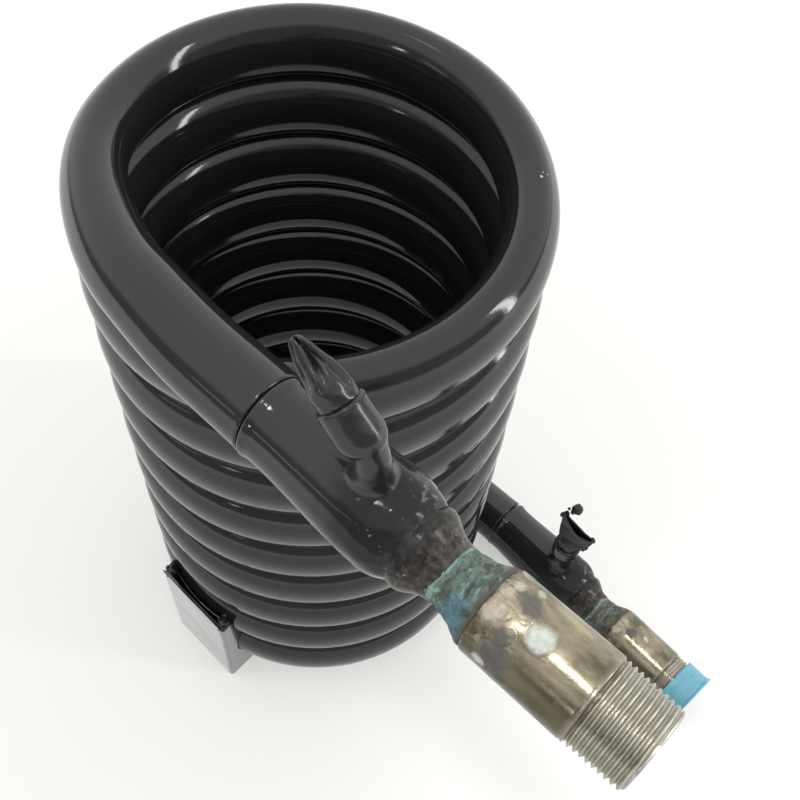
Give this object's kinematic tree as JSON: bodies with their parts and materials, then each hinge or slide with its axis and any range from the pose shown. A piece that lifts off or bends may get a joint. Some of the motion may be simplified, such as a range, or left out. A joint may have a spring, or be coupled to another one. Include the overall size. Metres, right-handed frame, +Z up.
{
  "type": "coaxial coil wort chiller",
  "caption": "Upright black tube-in-tube coil with a braced header at each end, each with a threaded brass nipple and a crimped side stub, and a small foot bracket.",
  "frame": {"origin": "on the floor, under the middle of the whole part's bounding box", "axes": "+Z up along the coil's axis; both headers leave the coil towards -Y, the upper one on the -X side and the lower one on the +X side; the foot bracket faces -X"},
  "size_m": [0.1904, 0.3012, 0.3764],
  "materials": {
    "black_paint": "gloss black enamel, slightly uneven over the welds",
    "weld_metal": "lumpy weld metal under thin black paint",
    "copper_patina": "copper neck gone blue-green with verdigris",
    "solder_crust": "rough braze with tan and green crust",
    "nickel_brass": "worn nickel-plated brass, stained near the neck",
    "blue_plastic": "thin translucent blue plastic",
    "copper": "dull copper tube"
  },
  "bodies": {
    "chiller": {"back_tack_weld": "weld_metal", "foot_bracket": "black_paint", "front_tack_weld": "weld_metal", "inner_water_tube": "copper", "lower_braze_ring": "black_paint", "lower_crimped_tube": "black_paint", "lower_header_body": "black_paint", "lower_neck_sleeve": "copper_patina", "lower_solder_ring": "solder_crust", "lower_stub_fillet": "black_paint", "lower_stub_socket": "black_paint", "lower_threaded_nipple": "nickel_brass", "lower_weld_collar": "black_paint", "outer_tube_length_01": "black_paint", "outer_tube_length_02": "black_paint", "outer_tube_length_03": "black_paint", "outer_tube_length_04": "black_paint", "outer_tube_length_05": "black_paint", "outer_tube_length_06": "black_paint", "outer_tube_length_07": "black_paint", "outer_tube_length_08": "black_paint", "outer_tube_length_09": "black_paint", "outer_tube_length_10": "black_paint", "upper_braze_ring": "black_paint", "upper_crimped_tube": "black_paint", "upper_header_body": "black_paint", "upper_neck_sleeve": "copper_patina", "upper_solder_ring": "solder_crust", "upper_stub_fillet": "black_paint", "upper_stub_socket": "black_paint", "upper_threaded_nipple": "nickel_brass", "upper_weld_collar": "black_paint"},
    "cap": {"thread_cap": "blue_plastic"}
  },
  "joints": [
    {"name": "cap_pull", "type": "slide", "parent": "chiller", "child": "cap", "axis": [-0.075, -0.9972, 0], "range_m": [0, 0.03]}
  ]
}
